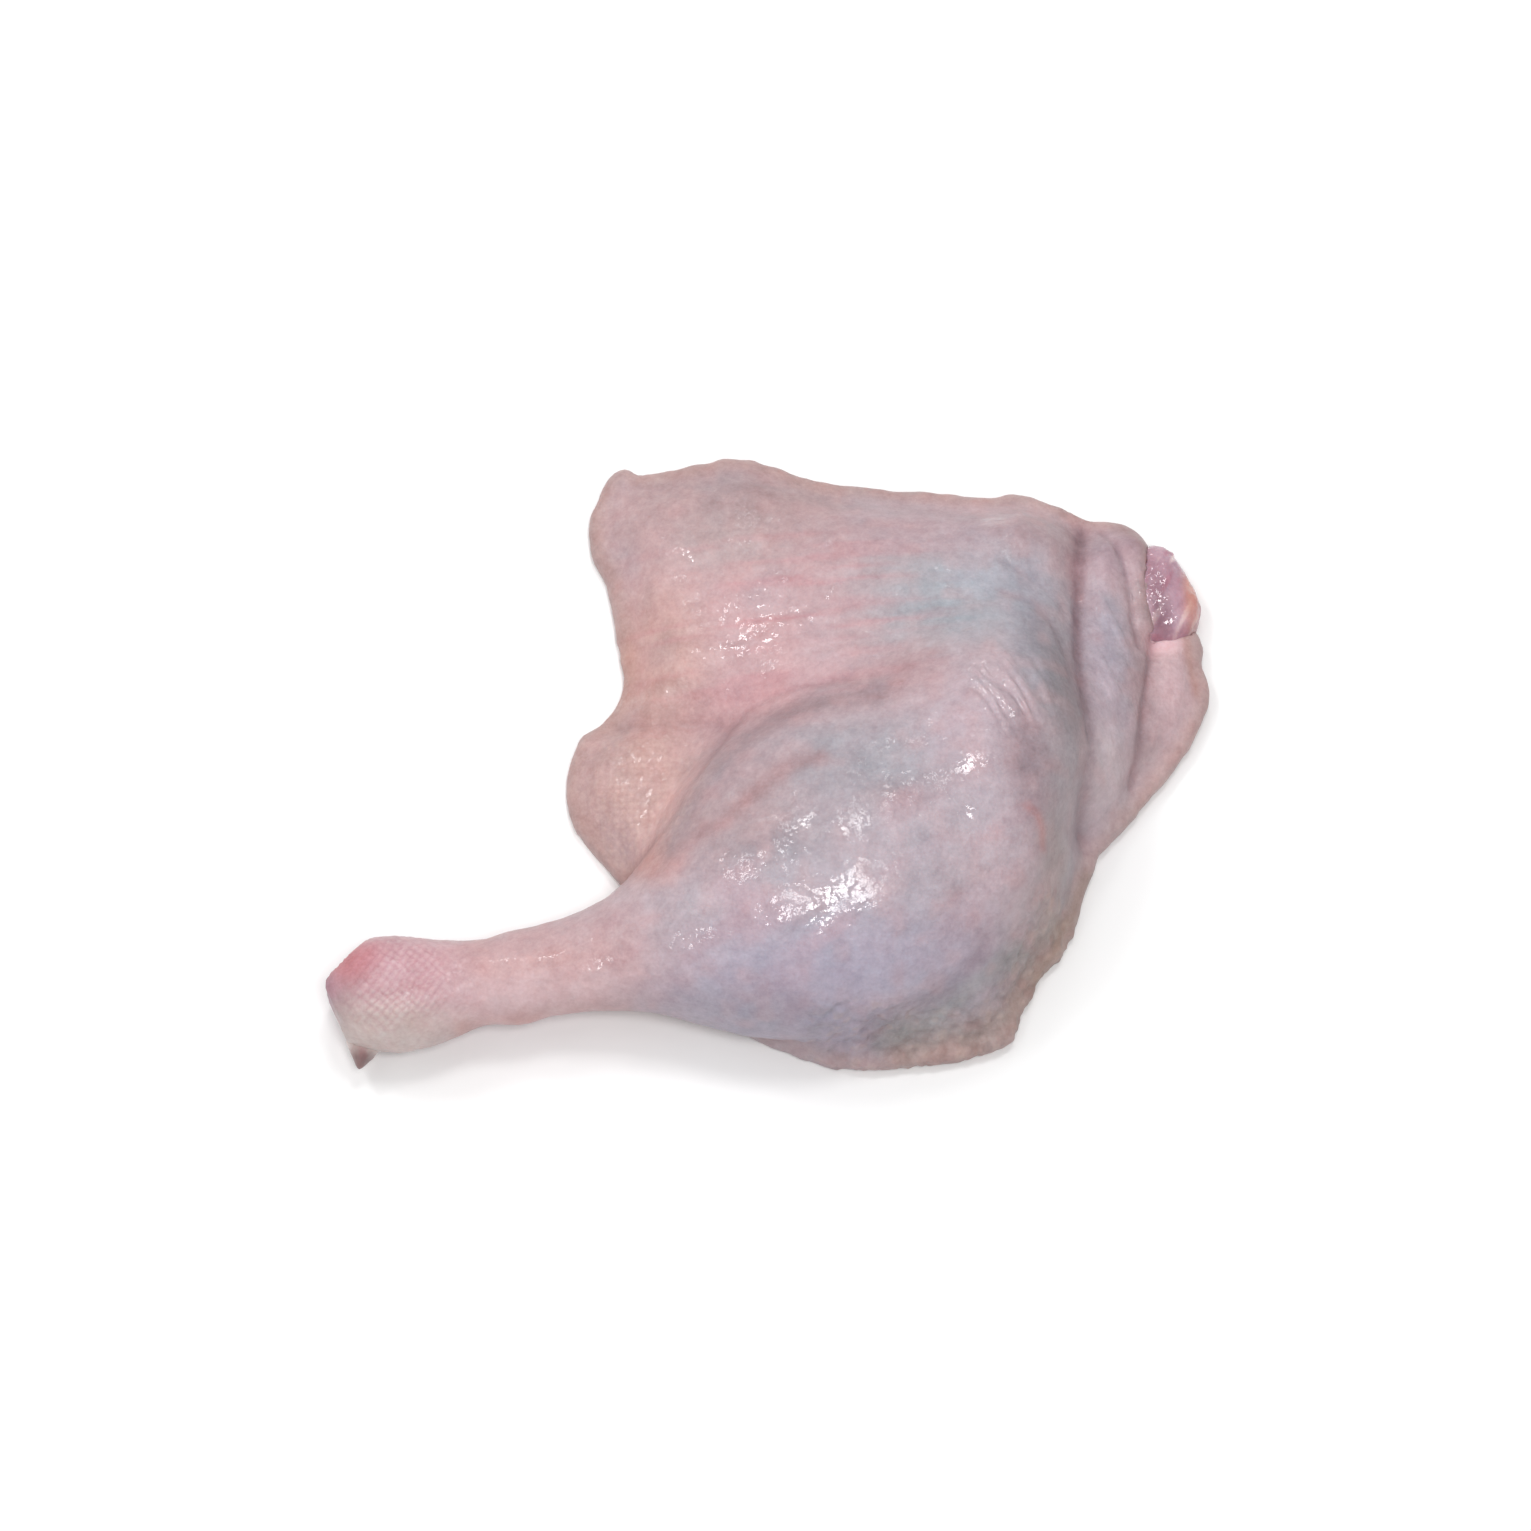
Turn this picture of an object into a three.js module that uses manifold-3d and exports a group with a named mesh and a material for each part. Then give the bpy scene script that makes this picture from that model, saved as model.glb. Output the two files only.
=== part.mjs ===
// A raw duck leg, skin side up on a flat surface. The drumstick points along -X and ends at the cut
// hock, and the thigh and its skin spread towards +X and +Y. Millimetres, +Z up, with the origin on
// the surface, under the middle of the leg's box.
//
// Each node is the zero surface of a depth field, negative inside the food, which soft ellipsoids and
// tapered limbs make together. The surface is meshed on a grid and drawn onto the field's zero.
import * as THREE from "three";
import { mergeVertices } from "three/addons/utils/BufferGeometryUtils.js";
import Module from "manifold-3d";

const wasm = await Module();
wasm.setup();

// ---- Driving dimensions, in millimetres ----
const SKIN_CELL = [4.3, 4.3, 3.1]; // grid steps of the skin-covered leg
const FLESH_CELL = [4.4, 4.4, 2.8]; // grid steps of the bare flesh
const GAP = 0.5; // clearance between neighbouring nodes
const MIDDLE = [2.36, 0.17]; // where the numbers below put the middle of the leg's box
const SKIN_SHEET = 5; // thickness of loose skin with its fat
const SKIN_EDGE = 2.3; // radius of the loose skin's rounded edge
const EDGE_LIP = 1; // how far the skin's edge stands out from the pads on it
const EDGE_TAPER = 0.7; // how far the thigh's pads draw in from the edge, for each millimetre up
const SIDE_TAPER = 0.3; // the same beside the knee and below it, where they end steeply
const TAPER_Y = [-10, 40]; // where it changes from SIDE_TAPER to EDGE_TAPER

// Muscles and fat pads are ellipsoids: their centre, half sizes, and turn about Z in degrees. Blend is
// how far from its neighbour a body starts to run into it.
const CALF = { at: [20, -25, 14], half: [48.5, 37, 28], turn: 30, blend: 12 };
const BELLY = { at: [47, -31, 5], half: [21, 25, 23], turn: 0, blend: 10 };
const HOCK = { at: [-80, -55.2, 12], half: [16, 11.6, 12], turn: -8, blend: 8 };
const KNEE = { at: [51, -4, 9], half: [23, 34, 29], turn: 0, blend: 12 };
const THIGH = { at: [36, 10, -14], half: [60, 60, 40], turn: 0, blend: 14 };
const FLANK = { at: [56, 50, 6], half: [14, 9, 12], turn: -10, blend: 8 };
const LOBE = { at: [-25, -8, 2], half: [20, 23, 10], turn: 0, blend: 6 };
const FLAP = { at: [-8, 36, 0], half: [36, 38, 15], turn: 0, blend: 14 };
const CORNER = { at: [-31, 64, 3], half: [6, 4, 4], turn: -10, blend: 4 };

// Limbs and skin folds are tapered capsules, from one end's centre and radius to the other's.
const SHANK = { from: [-80, -55, 12], to: [-52, -52, 14], radii: [9, 9.4], blend: 2 };
const SHIN = { from: [-52, -52, 14], to: [-2, -41.2, 18.8], radii: [9.4, 17.6], blend: 2 };
const INNER_FOLD = { from: [78, 47, 4], to: [75, -16, 5], radii: [10, 7.5], blend: 7 };
const OUTER_FOLD = { from: [90.3, 24.5, 3.8], to: [84, -4, 3], radii: [6.5, 5.5], blend: 4 };
const RIM_FOLD = { from: [16, -63, 2], to: [49, -57, 2], radii: [4, 6], blend: 4 };
const HIP_EDGE = { from: [81.3, 48, 6.5], to: [83.6, 30, 7], radii: [3.2, 3.2], blend: 3 };

// The drumstick, and the thigh with its loose skin. HIP_EDGE is added last, over the flesh's edge.
const DRUMSTICK = [SHANK, SHIN, HOCK, CALF, BELLY];
const THIGH_PADS = [FLAP, THIGH, LOBE, CORNER, FLANK, INNER_FOLD, OUTER_FOLD, RIM_FOLD, KNEE];
const CALF_BLEND = [9, 16]; // between the two: beside the calf's narrow end, and at the knee
const KNEE_BLEND_X = [0, 45]; // where it changes from the first to the second
const KNEE_BLEND_Y = [-85, -25];
const EDGE_BLEND = 6; // how gradually the pads give way to the skin's edge
const SHEET_BLEND = 4; // between the pads and the sheet of skin under them

// The loose skin's outline, seen from above, from the notch over the shank round the flap, the
// hip, the outer fold and the rim under the calf.
const SKIN_OUTLINE = [
  [-22, -37], [-31, -28], [-36, -22.5], [-41, -16], [-43.5, -7.5], [-42.5, 0.5], [-40, 6],
  [-35.5, 8.5], [-31, 17], [-32.5, 27.5], [-35, 41.5], [-38.5, 49], [-38.5, 60], [-34, 68],
  [-31, 69], [-28, 67.5], [-17, 69], [-7, 71], [2, 69], [10.5, 65.5], [25.5, 64], [49, 62],
  [57.5, 63], [65, 60], [74, 57], [81, 54.5], [85, 50], [86, 43], [87, 36], [89, 31], [95.5, 30],
  [96.5, 21.5], [98, 15.5], [93, 3], [84, -9.5], [73, -21.5], [69, -31], [64, -43.5], [58, -51],
  [55, -57], [53.5, -62.5], [47, -66], [30, -69], [16, -69], [1, -64], [-7.5, -58],
];
const OUTLINE_STEPS = 180;
const OVER_EDGE = 150; // how far the calf and shank may lie over the outline
const HELD_IN_X = [0, 40]; // where that ends, towards the knee and belly
const HELD_IN_Y = [0, 25];

// Creases pressed into the skin, seen from above.
const CREASES = [
  {
    width: 4.5,
    depth: 1.7,
    path: [[70.5, 54], [69.5, 47], [68.5, 34], [68, 20], [69, 5], [70, -4], [68.5, -14], [68, -19]],
  },
  { width: 4, depth: 1.2, path: [[85.5, 27], [84, 19], [82.5, 10], [81.3, 0], [80, -7]] },
  {
    width: 5,
    depth: 0.4,
    path: [[-15, -28], [-8.5, -23], [-4, -19], [4, -12.5], [11.5, -10.5], [20, -12]],
  },
  { width: 3, depth: 0.8, path: [[-32, 6.5], [-22, 6], [-9, 5]] },
];

// The hock is cut through the joint. CUT_FACE is a point of the cut, which faces CUT_TURN degrees.
// A second cut takes off its upper corner, at the hock's end past HOCK_END.
const CUT_FACE = [-89.5, -63.5];
const CUT_TURN = 206;
const TIP_FACE = [-89.6, -49.7];
const TIP_TURN = 139;
const HOCK_END = -60;

// The joint's gristle is a knob inside the hock, which narrows to a blunt tip outside it.
const JOINT = { at: [-85.6, -64.45, 7.5], length: 13, knob: 4.6, tip: 1.4, turn: 80 };

// The bare flesh: the lump and knob at the hip, and the meat that they run into under the thigh.
const HIP_LUMP = { at: [88.2, 39, 3.5], half: [6.6, 11.3, 5.8], turn: 14, blend: 2 };
const HIP_KNOB = { at: [91.3, 33.5, 3.5], half: [4.6, 6.2, 5], turn: -10, blend: 2 };
const HIP_MEAT = { at: [70, 34, 2], half: [24, 12, 8], turn: 4, blend: 5 };
const THIGH_MEAT = { at: [38, 22, 0], half: [38, 32, 9], turn: 0, blend: 8 };
const MEAT = [HIP_LUMP, HIP_KNOB, HIP_MEAT, THIGH_MEAT];

// ---- Field helpers ----
const clamp = THREE.MathUtils.clamp;
const mix = THREE.MathUtils.lerp;
const smoothstep = THREE.MathUtils.smoothstep;

// The lower of two fields, rounded over where they are less than `soft` apart.
function softMin(a, b, soft) {
  const near = Math.max(soft - Math.abs(a - b), 0) / soft;
  return Math.min(a, b) - (near * near * soft) / 4;
}

function softMax(a, b, soft) {
  return -softMin(-a, -b, soft);
}

function ellipsoid(x, y, z, { at, half, turn }) {
  const angle = THREE.MathUtils.degToRad(turn);
  const dx = x - at[0];
  const dy = y - at[1];
  const along = (dx * Math.cos(angle) + dy * Math.sin(angle)) / half[0];
  const across = (dy * Math.cos(angle) - dx * Math.sin(angle)) / half[1];
  const up = (z - at[2]) / half[2];
  const reach = Math.hypot(along, across, up);
  const slope = Math.hypot(along / half[0], across / half[1], up / half[2]);
  return slope > 0 ? (reach * (reach - 1)) / slope : -Math.min(...half);
}

function taperedLimb(x, y, z, { from, to, radii }) {
  const axis = to.map((v, i) => v - from[i]);
  const offset = [x - from[0], y - from[1], z - from[2]];
  const dot = (a, b) => a[0] * b[0] + a[1] * b[1] + a[2] * b[2];
  const t = clamp(dot(offset, axis) / dot(axis, axis), 0, 1);
  const away = offset.map((v, i) => v - axis[i] * t);
  return Math.hypot(...away) - mix(radii[0], radii[1], smoothstep(t, 0, 1));
}

// The field of several bodies, each run into the ones before it.
function joined(x, y, z, bodies) {
  return bodies.reduce((field, body) => {
    const depth = body.half ? ellipsoid(x, y, z, body) : taperedLimb(x, y, z, body);
    return softMin(field, depth, body.blend);
  }, Infinity);
}

// How far (x, y) lies past the upright plane through `face`, which faces `degrees` round from +X.
function pastPlane(x, y, face, degrees) {
  const turn = THREE.MathUtils.degToRad(degrees);
  return (x - face[0]) * Math.cos(turn) + (y - face[1]) * Math.sin(turn);
}

// The distance from (x, y) to a run of straight stretches.
function pathDistance(x, y, points) {
  let nearest = Infinity;
  for (let i = 1; i < points.length; i++) {
    const [ax, ay] = points[i - 1];
    const bx = points[i][0] - ax;
    const by = points[i][1] - ay;
    const t = clamp(((x - ax) * bx + (y - ay) * by) / (bx * bx + by * by), 0, 1);
    nearest = Math.min(nearest, Math.hypot(x - ax - bx * t, y - ay - by * t));
  }
  return nearest;
}

const flat = (points) => points.map(([x, y]) => new THREE.Vector3(x, y, 0));
const outlineCurve = new THREE.CatmullRomCurve3(flat(SKIN_OUTLINE), true, "centripetal");
const outline = outlineCurve.getSpacedPoints(OUTLINE_STEPS).map((p) => [p.x, p.y]);

// The distance from (x, y) to the skin's outline, negative inside it.
function outlineDistance(x, y) {
  let inside = false;
  for (let i = 1; i < outline.length; i++) {
    const [ax, ay] = outline[i - 1];
    const [bx, by] = outline[i];
    if (ay > y !== by > y && x < ((bx - ax) * (y - ay)) / (by - ay) + ax) inside = !inside;
  }
  const away = pathDistance(x, y, outline);
  return inside ? -away : away;
}

// ---- The skin-covered leg ----
function legColumn(x, y) {
  const beyond = outlineDistance(x, y);
  const fromEdge = beyond + SKIN_EDGE;
  let pressed = 0;
  for (const { path, width, depth } of CREASES) {
    pressed += depth * Math.exp(-((pathDistance(x, y, path) / width) ** 2));
  }
  const pastTip = x < HOCK_END ? pastPlane(x, y, TIP_FACE, TIP_TURN) : -Infinity;
  const pastCut = Math.max(pastPlane(x, y, CUT_FACE, CUT_TURN), pastTip);
  // The calf stands clear of the loose skin beside and below it, and runs into the knee and thigh.
  const calfBlend = mix(...CALF_BLEND, smoothstep(x, ...KNEE_BLEND_X) * smoothstep(y, ...KNEE_BLEND_Y));
  const taper = mix(SIDE_TAPER, EDGE_TAPER, smoothstep(y, ...TAPER_Y));
  // The skin's outline holds in the knee and belly too, but not the calf and shank, which lie over it.
  const overEdge = OVER_EDGE * (1 - smoothstep(x, ...HELD_IN_X) * (1 - smoothstep(y, ...HELD_IN_Y)));
  return (z) => {
    const fromMiddle = Math.abs(z - SKIN_SHEET / 2) - (SKIN_SHEET / 2 - SKIN_EDGE);
    const sheet =
      Math.hypot(Math.max(fromEdge, 0), Math.max(fromMiddle, 0)) +
      Math.min(Math.max(fromEdge, fromMiddle), 0) - SKIN_EDGE;
    // The pads thin out towards the skin's edge.
    const limit = beyond + EDGE_LIP + taper * Math.max(z - SKIN_EDGE, 0);
    const pads = softMax(joined(x, y, z, THIGH_PADS), limit, EDGE_BLEND);
    const spread = softMin(pads, taperedLimb(x, y, z, HIP_EDGE), HIP_EDGE.blend);
    const both = softMin(spread, joined(x, y, z, DRUMSTICK), calfBlend);
    const body = softMax(both, limit - overEdge, EDGE_BLEND);
    return Math.max(softMin(sheet, body, SHEET_BLEND) + pressed, pastCut, -z);
  };
}

// ---- The bare flesh ----
function fleshColumn(x, y) {
  return (z) => Math.max(joined(x, y, z, MEAT), -z);
}

// ---- Meshing ----
// Surface nets: one vertex in each grid cell that the surface crosses, and one quad round each grid
// edge that it crosses.
function surfaceOf(columnAt, low, high, cell) {
  const size = low.map((v, i) => Math.ceil((high[i] - v) / cell[i]) + 1);
  const step = [size[1] * size[2], size[2], 1]; // from one grid point to the next, in the list
  const place = (i, j, k) => i * step[0] + j * step[1] + k;
  const depth = new Float64Array(size[0] * size[1] * size[2]);
  for (let i = 0; i < size[0]; i++) {
    for (let j = 0; j < size[1]; j++) {
      const field = columnAt(low[0] + i * cell[0], low[1] + j * cell[1]);
      for (let k = 0; k < size[2]; k++) depth[place(i, j, k)] = field(low[2] + k * cell[2]);
    }
  }
  const corners = Array.from({ length: 8 }, (_, c) => [c & 1, (c >> 1) & 1, (c >> 2) & 1]);
  const edges = corners.flatMap((a, m) =>
    [1, 2, 4].filter((bit) => !(m & bit)).map((bit) => [m, m | bit]));
  const vertexOf = new Int32Array(depth.length).fill(-1);
  const vertices = [];
  for (let i = 0; i < size[0] - 1; i++) {
    for (let j = 0; j < size[1] - 1; j++) {
      for (let k = 0; k < size[2] - 1; k++) {
        const d = corners.map(([a, b, c]) => depth[place(i + a, j + b, k + c)]);
        const crossed = edges.filter(([a, b]) => d[a] < 0 !== d[b] < 0);
        if (!crossed.length) continue;
        const sum = [0, 0, 0];
        for (const [a, b] of crossed) {
          const t = d[a] / (d[a] - d[b]);
          for (let m = 0; m < 3; m++) {
            sum[m] += mix(corners[a][m], corners[b][m], t) / crossed.length;
          }
        }
        vertexOf[place(i, j, k)] = vertices.length;
        vertices.push([i, j, k].map((v, m) => low[m] + (v + sum[m]) * cell[m]));
      }
    }
  }
  const faces = [];
  for (let i = 1; i < size[0] - 1; i++) {
    for (let j = 1; j < size[1] - 1; j++) {
      for (let k = 1; k < size[2] - 1; k++) {
        const here = place(i, j, k);
        for (let m = 0; m < 3; m++) {
          const inside = depth[here] < 0;
          if (inside === depth[here + step[m]] < 0) continue;
          const [b, c] = [step[(m + 1) % 3], step[(m + 2) % 3]];
          const quad = [here, here - b, here - b - c, here - c].map((n) => vertexOf[n]);
          if (!inside) quad.reverse();
          const span = (a, e) => Math.hypot(...vertices[quad[a]].map((v, n) => v - vertices[quad[e]][n]));
          if (span(0, 2) < span(1, 3)) faces.push(quad[0], quad[1], quad[2], quad[0], quad[2], quad[3]);
          else faces.push(quad[0], quad[1], quad[3], quad[1], quad[2], quad[3]);
        }
      }
    }
  }
  const drawn = vertices.map((v) => drawOnto(columnAt, v, cell));
  return new THREE.BufferGeometry()
    .setAttribute("position", new THREE.Float32BufferAttribute(drawn.flat(), 3))
    .setIndex(faces);
}

// Moves a vertex along the field's slope onto its surface, by at most DRAW_REACH cells.
const DRAW_REACH = 0.4;
function drawOnto(columnAt, start, cell) {
  const PROBE = 0.2;
  const value = (p) => columnAt(p[0], p[1])(p[2]);
  let point = start;
  for (let round = 0; round < 3; round++) {
    const here = value(point);
    const slope = [0, 1, 2].map((m) => {
      const ahead = point.map((v, n) => v + (n === m ? PROBE : 0));
      return (value(ahead) - here) / PROBE;
    });
    const steep = Math.max(slope[0] ** 2 + slope[1] ** 2 + slope[2] ** 2, 0.1);
    point = point.map((v, m) => v - (here * slope[m]) / steep);
  }
  return point.map((v, m) => {
    const moved = clamp(v, start[m] - cell[m] * DRAW_REACH, start[m] + cell[m] * DRAW_REACH);
    return m === 2 && moved < 0.3 ? 0 : moved;
  });
}

// The same surface, every vertex moved outwards.
function grown(geometry, distance) {
  const wider = geometry.clone();
  wider.computeVertexNormals();
  const { position, normal } = wider.attributes;
  for (let i = 0; i < position.count; i++) {
    const out = new THREE.Vector3().fromBufferAttribute(normal, i).multiplyScalar(distance);
    position.setXYZ(i, position.getX(i) + out.x, position.getY(i) + out.y, position.getZ(i) + out.z);
  }
  return wider;
}

// ---- The joint's gristle ----
function jointGeometry(grow = 0) {
  const STEPS = 14;
  const half = JOINT.length / 2 + grow;
  const profile = [];
  for (let i = 0; i <= STEPS; i++) {
    const t = -1 + (2 * i) / STEPS;
    const radius = mix(JOINT.tip, JOINT.knob, THREE.MathUtils.smoothstep(t, -1, 0.1));
    const round = Math.sqrt(Math.max(1 - Math.abs(t) ** 5, 0));
    profile.push(new THREE.Vector2(i === 0 || i === STEPS ? 0 : (radius + grow) * round, t * half));
  }
  const along = THREE.MathUtils.degToRad(JOINT.turn);
  return new THREE.LatheGeometry(profile, 16)
    .applyMatrix4(new THREE.Matrix4().makeRotationZ(along - Math.PI / 2))
    .applyMatrix4(new THREE.Matrix4().makeTranslation(...JOINT.at));
}

// ---- Solids ----
function solidOf(geometry) {
  const bare = geometry.clone();
  bare.deleteAttribute("normal");
  bare.deleteAttribute("uv");
  const merged = mergeVertices(bare, 1e-3);
  return new wasm.Manifold(new wasm.Mesh({
    numProp: 3,
    vertProperties: merged.attributes.position.array,
    triVerts: new Uint32Array(merged.index.array),
  }));
}

// The solid's geometry, without the tiny crumbs that a cut may leave.
function geometryOf(solid) {
  const bodies = solid.decompose().sort((a, b) => b.volume() - a.volume());
  const { vertProperties, triVerts } = bodies[0].getMesh();
  return new THREE.BufferGeometry()
    .setAttribute("position", new THREE.BufferAttribute(vertProperties, 3))
    .setIndex(new THREE.BufferAttribute(triVerts, 1));
}

function named(name, geometry, colour, roughness) {
  const finish = new THREE.MeshStandardMaterial({ color: colour, roughness, metalness: 0 });
  const mesh = new THREE.Mesh(geometry, finish);
  mesh.name = name;
  mesh.position.set(-MIDDLE[0], -MIDDLE[1], 0);
  return mesh;
}

const REACH = [[-105.2, -80.6, -5], [104, 76, 48]];
const FLESH_REACH = [[-6.8, -18.6, -5], [104, 62, 22]];

const flesh = surfaceOf(fleshColumn, ...FLESH_REACH, FLESH_CELL);
const leg = solidOf(surfaceOf(legColumn, ...REACH, SKIN_CELL))
  .subtract(solidOf(grown(flesh, GAP)))
  .subtract(solidOf(jointGeometry(GAP)));

const part = new THREE.Group();
part.add(
  named("leg", geometryOf(leg), 0xcdb0b0, 0.4),
  named("thigh_flesh", flesh, 0xbf8b94, 0.35),
  named("hock_joint", jointGeometry(), 0xd8c6c4, 0.3),
);

export default part;
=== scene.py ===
"""The looks of a raw duck leg, skin side up: detailed skin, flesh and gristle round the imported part."""

import math

import bmesh
import bpy
import numpy as np
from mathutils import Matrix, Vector


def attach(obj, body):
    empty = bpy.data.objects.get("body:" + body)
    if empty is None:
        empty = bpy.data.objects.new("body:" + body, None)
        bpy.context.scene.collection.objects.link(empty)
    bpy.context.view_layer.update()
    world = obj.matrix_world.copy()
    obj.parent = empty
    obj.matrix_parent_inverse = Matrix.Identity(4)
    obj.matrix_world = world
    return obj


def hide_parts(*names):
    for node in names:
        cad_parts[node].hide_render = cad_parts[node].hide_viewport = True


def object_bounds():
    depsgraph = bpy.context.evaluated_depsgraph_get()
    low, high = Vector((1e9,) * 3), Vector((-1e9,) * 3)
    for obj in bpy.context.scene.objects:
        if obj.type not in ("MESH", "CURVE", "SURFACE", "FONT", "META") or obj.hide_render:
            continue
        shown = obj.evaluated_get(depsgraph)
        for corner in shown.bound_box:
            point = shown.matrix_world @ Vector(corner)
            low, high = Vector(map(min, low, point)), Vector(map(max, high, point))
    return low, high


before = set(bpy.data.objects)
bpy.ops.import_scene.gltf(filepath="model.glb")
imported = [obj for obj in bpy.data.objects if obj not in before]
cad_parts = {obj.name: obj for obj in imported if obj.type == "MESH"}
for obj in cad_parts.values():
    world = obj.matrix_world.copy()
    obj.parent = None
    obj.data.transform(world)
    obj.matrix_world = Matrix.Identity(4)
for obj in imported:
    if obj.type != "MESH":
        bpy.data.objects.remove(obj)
CAD_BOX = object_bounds()

# ---- The part's named sizes, in millimetres ----
# The same soft bodies as the part's solids, in the same design frame. MIDDLE is where that frame
# puts the middle of the leg's box.
MIDDLE = (2.36, 0.17)
SKIN_SHEET = 5.0  # thickness of the loose skin with its fat
SKIN_EDGE = 2.3  # radius of its rounded edge
EDGE_LIP = 1.0  # how far its edge stands out from the pads on it
EDGE_TAPER = 0.7  # how far the thigh's pads draw in from the edge, for each millimetre up
SIDE_TAPER = 0.3  # the same beside the knee and below it
TAPER_Y = (-10, 40)  # where it changes from SIDE_TAPER to EDGE_TAPER

CALF = dict(at=(20, -25, 14), half=(48.5, 37, 28), turn=30, blend=12)
BELLY = dict(at=(47, -31, 5), half=(21, 25, 23), turn=0, blend=10)
HOCK = dict(at=(-80, -55.2, 12), half=(16, 11.6, 12), turn=-8, blend=8)
KNEE = dict(at=(51, -4, 9), half=(23, 34, 29), turn=0, blend=12)
THIGH = dict(at=(36, 10, -14), half=(60, 60, 40), turn=0, blend=14)
FLANK = dict(at=(56, 50, 6), half=(14, 9, 12), turn=-10, blend=8)
LOBE = dict(at=(-25, -8, 2), half=(20, 23, 10), turn=0, blend=6)
FLAP = dict(at=(-8, 36, 0), half=(36, 38, 15), turn=0, blend=14)
CORNER = dict(at=(-31, 64, 3), half=(6, 4, 4), turn=-10, blend=4)

SHANK = dict(start=(-80, -55, 12), end=(-52, -52, 14), radii=(9, 9.4), blend=2)
SHIN = dict(start=(-52, -52, 14), end=(-2, -41.2, 18.8), radii=(9.4, 17.6), blend=2)
INNER_FOLD = dict(start=(78, 47, 4), end=(75, -16, 5), radii=(10, 7.5), blend=7)
OUTER_FOLD = dict(start=(90.3, 24.5, 3.8), end=(84, -4, 3), radii=(6.5, 5.5), blend=4)
RIM_FOLD = dict(start=(16, -63, 2), end=(49, -57, 2), radii=(4, 6), blend=4)
HIP_EDGE = dict(start=(81.3, 48, 6.5), end=(83.6, 30, 7), radii=(3.2, 3.2), blend=3)

DRUMSTICK = [SHANK, SHIN, HOCK, CALF, BELLY]
THIGH_PADS = [FLAP, THIGH, LOBE, CORNER, FLANK, INNER_FOLD, OUTER_FOLD, RIM_FOLD, KNEE]
CALF_BLEND = (9, 16)  # between the two: beside the calf's narrow end, and at the knee
KNEE_BLEND_X = (0, 45)  # where it changes from the first to the second
KNEE_BLEND_Y = (-85, -25)
EDGE_BLEND = 6  # how gradually the pads give way to the skin's edge
SHEET_BLEND = 4  # between the pads and the sheet of skin under them
OVER_EDGE = 150  # how far the calf and shank may lie over the outline
HELD_IN_X = (0, 40)  # where that ends, towards the knee and belly
HELD_IN_Y = (0, 25)

SKIN_OUTLINE = [
    (-22, -37), (-31, -28), (-36, -22.5), (-41, -16), (-43.5, -7.5), (-42.5, 0.5), (-40, 6),
    (-35.5, 8.5), (-31, 17), (-32.5, 27.5), (-35, 41.5), (-38.5, 49), (-38.5, 60), (-34, 68),
    (-31, 69), (-28, 67.5), (-17, 69), (-7, 71), (2, 69), (10.5, 65.5), (25.5, 64), (49, 62),
    (57.5, 63), (65, 60), (74, 57), (81, 54.5), (85, 50), (86, 43), (87, 36), (89, 31), (95.5, 30),
    (96.5, 21.5), (98, 15.5), (93, 3), (84, -9.5), (73, -21.5), (69, -31), (64, -43.5), (58, -51),
    (55, -57), (53.5, -62.5), (47, -66), (30, -69), (16, -69), (1, -64), (-7.5, -58),
]

VALLEY = [(70.5, 54), (69.5, 47), (68.5, 34), (68, 20), (69, 5), (70, -4), (68.5, -14), (68, -19)]
OUTER_VALLEY = [(85.5, 27), (84, 19), (82.5, 10), (81.3, 0), (80, -7)]
FURROW = [(-15, -28), (-8.5, -23), (-4, -19), (4, -12.5), (11.5, -10.5), (20, -12)]
LOBE_CREASE = [(-32, 6.5), (-22, 6), (-9, 5)]
# Creases pressed into the surface: width, depth and path.
CREASES = [(4.5, 1.7, VALLEY), (4.0, 1.2, OUTER_VALLEY), (5.0, 0.4, FURROW), (3.0, 0.8, LOBE_CREASE)]

# The hock ends in two upright faces, each given by a point and the direction that it looks in.
CUT_FACE = (-89.5, -63.5)
CUT_TURN = 206
TIP_FACE = (-89.6, -49.7)
TIP_TURN = 139
HOCK_END = -60  # the second face cuts only what lies to the left of this
HOCK_CORNER = 1.5  # how far the corner between them is rounded
FAR = 50  # deep enough inside for a face that cuts nothing
JOINT = dict(at=(-85.6, -64.45, 7.5), length=13, knob=4.6, tip=1.4, turn=80)

HIP_LUMP = dict(at=(88.2, 39, 3.5), half=(6.6, 11.3, 5.8), turn=14, blend=2)
HIP_KNOB = dict(at=(91.3, 33.5, 3.5), half=(4.6, 6.2, 5), turn=-10, blend=2)
HIP_MEAT = dict(at=(70, 34, 2), half=(24, 12, 8), turn=4, blend=5)
THIGH_MEAT = dict(at=(38, 22, 0), half=(38, 32, 9), turn=0, blend=8)
MEAT = [HIP_LUMP, HIP_KNOB, HIP_MEAT, THIGH_MEAT]

# ---- Sizes of the looks, in millimetres ----
SKIN_CELL = 1.0  # grid steps of the two meshes, which are halved where they need fine detail
FLESH_CELL = 1.0
SKIN_SPAN = ((-99, -74, -1.8), (101, 75, 44))  # the grids' low and high corners
FLESH_SPAN = ((-4, -14, -2), (101, 58, 18))
JOINT_RINGS = 60
JOINT_SIDES = 72
UNDERLAP = 0.5  # how far the skin runs in under the surface of what it wraps
INSET = 0.1  # each piece's relief rises from this far inside the part's surface
BOX_MARGIN = 0.01  # how far the pieces keep inside the part's box

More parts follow.
